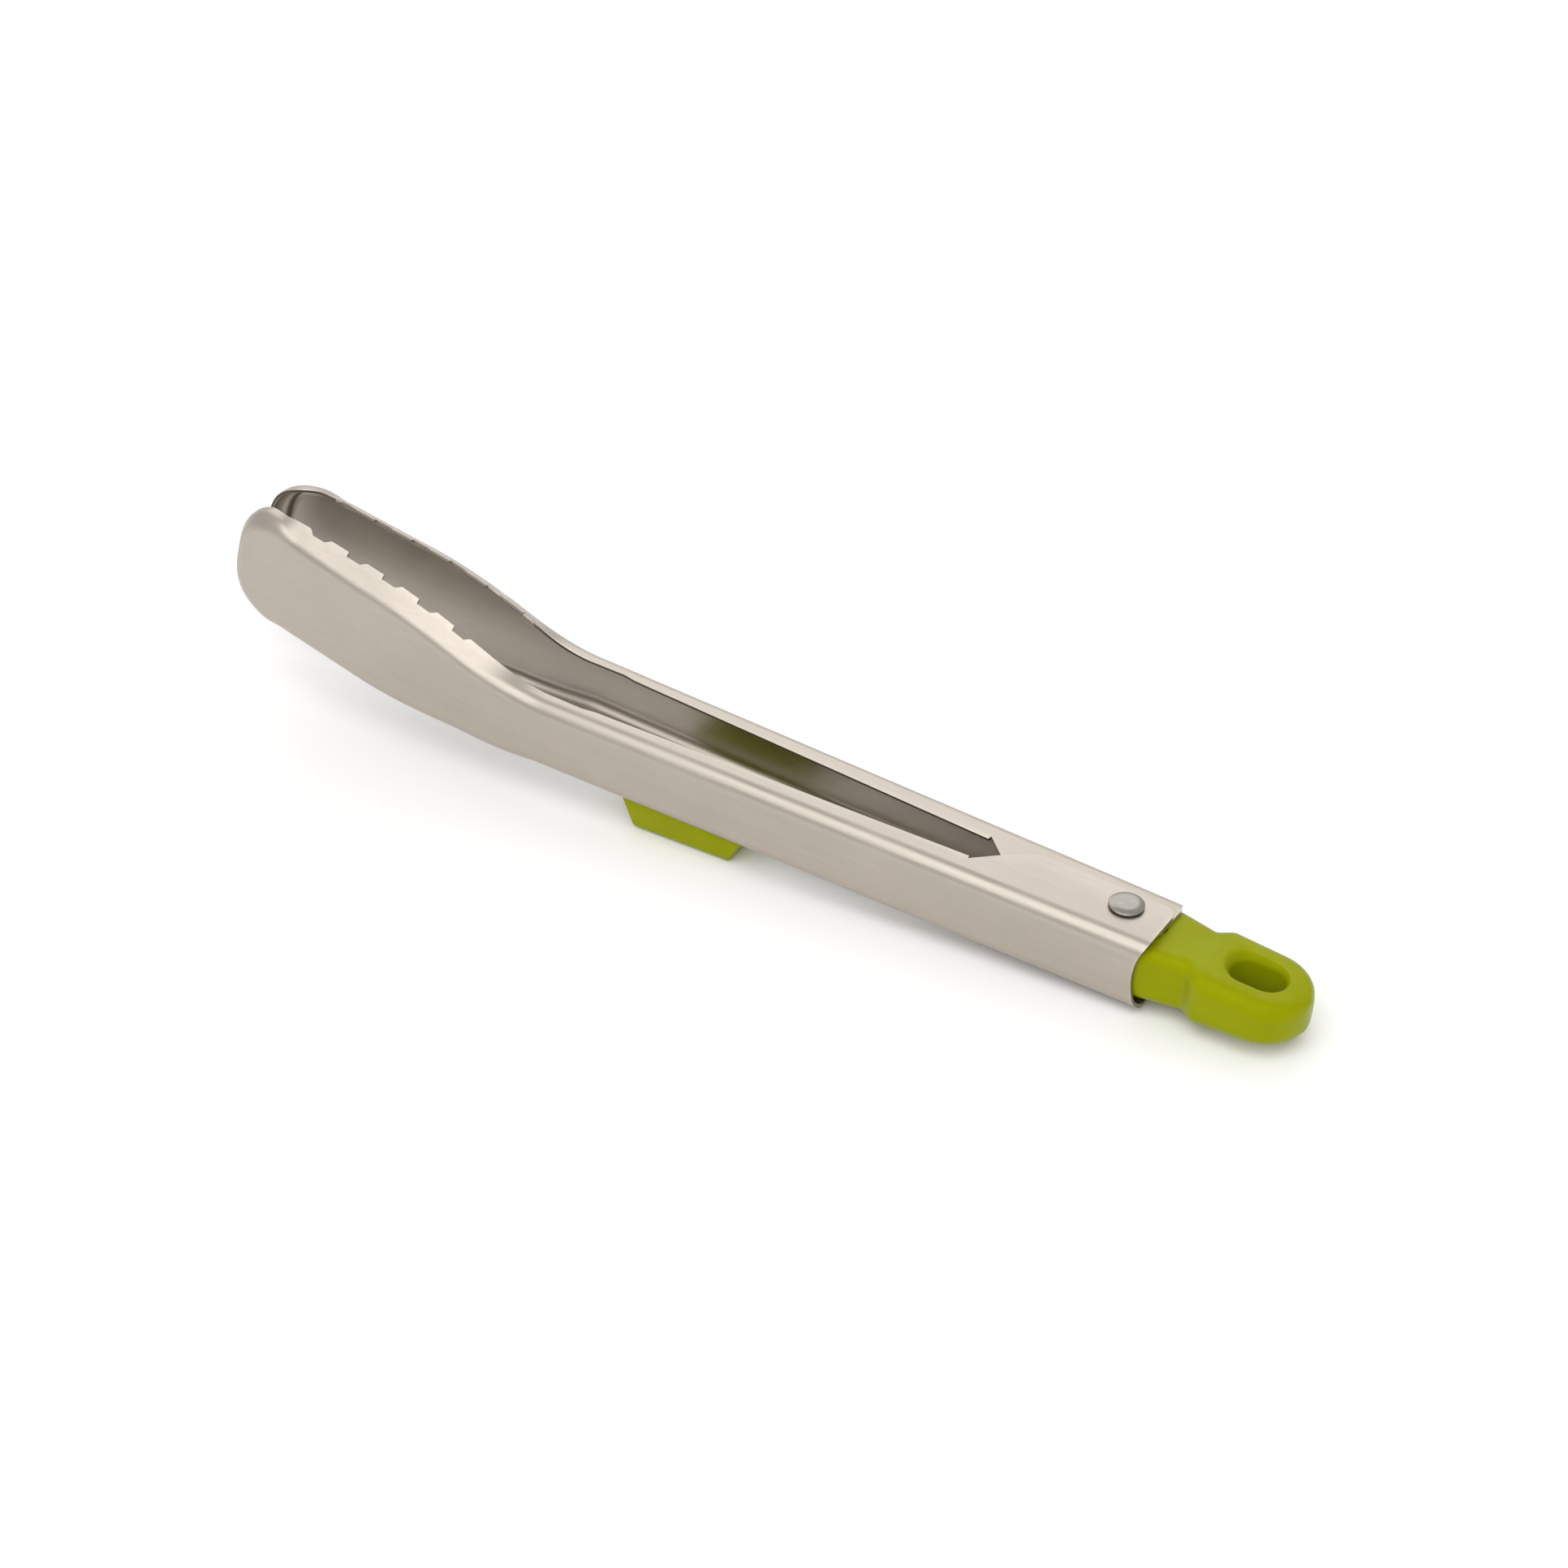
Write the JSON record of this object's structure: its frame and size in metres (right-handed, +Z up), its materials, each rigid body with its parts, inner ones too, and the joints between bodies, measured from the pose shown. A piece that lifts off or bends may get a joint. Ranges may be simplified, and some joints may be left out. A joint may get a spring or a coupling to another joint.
{
  "type": "kitchen tongs",
  "caption": "Spring loaded kitchen tongs with two pressed steel arms, scalloped scoop heads, a rivet pivot, a pull lock with a hanging hole and a tool rest.",
  "frame": {"origin": "centre of the bounding box at its base, on the surface that the tongs lie on", "axes": "+X towards the handle end, -X towards the heads, +Z up with the tongs lying on their side, and the near arm at -Y"},
  "size_m": [0.3466, 0.034, 0.062],
  "materials": {
    "arm_steel": "satin brushed along the handle",
    "rivet_steel": "polished",
    "spring_steel": "drawn wire",
    "green_plastic": "fine satin",
    "bush_nylon": "plain"
  },
  "bodies": {
    "near_arm": {"near_arm": "arm_steel", "tool_rest": "green_plastic", "spring_leg_near": "spring_steel"},
    "far_arm": {"far_arm": "arm_steel", "spring_leg_far": "spring_steel"},
    "pivot": {"pivot_rivet": "rivet_steel", "rivet_washer": "rivet_steel", "pivot_bush": "bush_nylon", "spring_coil": "spring_steel"},
    "lock_pull": {"lock_pull": "green_plastic"}
  },
  "joints": [
    {"name": "arm_open", "type": "hinge", "parent": "near_arm", "child": "far_arm", "pos_m": [0.11706, 0, 0.01336], "axis": [-0.0559, 0, -0.9984], "range_deg": [0, 20]},
    {"name": "pivot_turn", "type": "hinge", "parent": "near_arm", "child": "pivot", "pos_m": [0.11706, 0, 0.01336], "axis": [-0.0559, 0, -0.9984], "range_deg": [0, 10]},
    {"name": "pull_slide", "type": "slide", "parent": "pivot", "child": "lock_pull", "axis": [-0.9984, 0, 0.0559], "range_m": [0, 0.0085]}
  ],
  "couplings": [
    {"joint": "pivot_turn", "follows": "arm_open", "ratio": 0.5},
    {"joint": "pull_slide", "follows": "arm_open", "m_per_rad": 0.02435}
  ]
}
